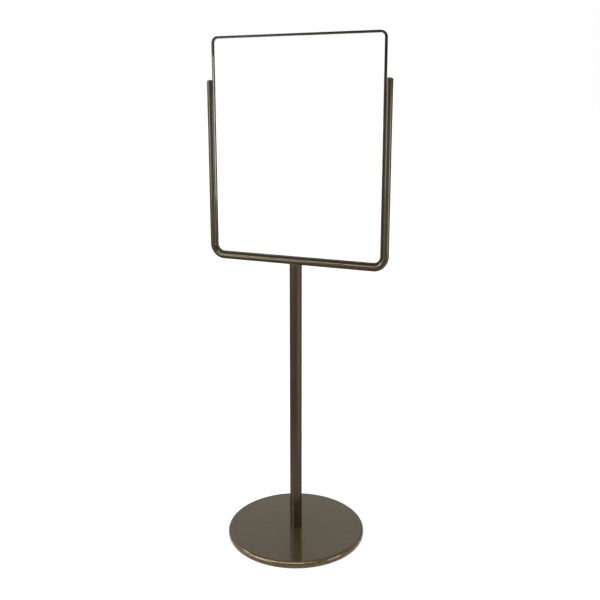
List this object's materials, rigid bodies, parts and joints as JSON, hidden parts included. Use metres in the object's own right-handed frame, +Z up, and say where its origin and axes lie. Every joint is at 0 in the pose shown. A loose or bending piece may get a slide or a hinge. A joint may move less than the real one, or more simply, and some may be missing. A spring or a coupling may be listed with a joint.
{
  "type": "sign stand",
  "caption": "Free-standing pedestal sign stand: weighted round base, slim round post, U-shaped cradle of grooved tube and a lift-out rectangular channel frame for a sign sheet.",
  "frame": {"origin": "on the floor at the centre of the round base", "axes": "+Z up along the post; +X along the sign's width; the sign's front faces -Y"},
  "size_m": [0.5444, 0.4064, 1.45],
  "materials": {
    "base_bronze": "satin statuary bronze finish, fine turned grain",
    "bronze": "semi-gloss statuary bronze finish",
    "insert_bronze": "satin statuary bronze finish",
    "cap_plastic": "dark bronze moulded plastic",
    "cast_iron": "rough black casting",
    "plain_steel": "turned, unplated",
    "zinc_steel": "bright zinc plated",
    "rubber": "matt black"
  },
  "bodies": {
    "stand": {"base_cover": "base_bronze", "base_weight": "cast_iron", "floor_pad": "rubber", "foot_bush": "plain_steel", "post_tube": "bronze", "tie_rod": "zinc_steel", "tie_rod_nut": "zinc_steel", "lock_washer": "zinc_steel", "flat_washer": "zinc_steel", "head_boss": "bronze", "cradle_tube": "bronze", "arm_cap_left": "cap_plastic", "arm_cap_right": "cap_plastic"},
    "insert": {"insert_channel": "insert_bronze", "splice_plate": "plain_steel", "splice_screws": "zinc_steel"}
  },
  "joints": [
    {"name": "insert_lift", "type": "slide", "parent": "stand", "child": "insert", "axis": [0, 0, 1], "range_m": [0, 0.5]}
  ]
}
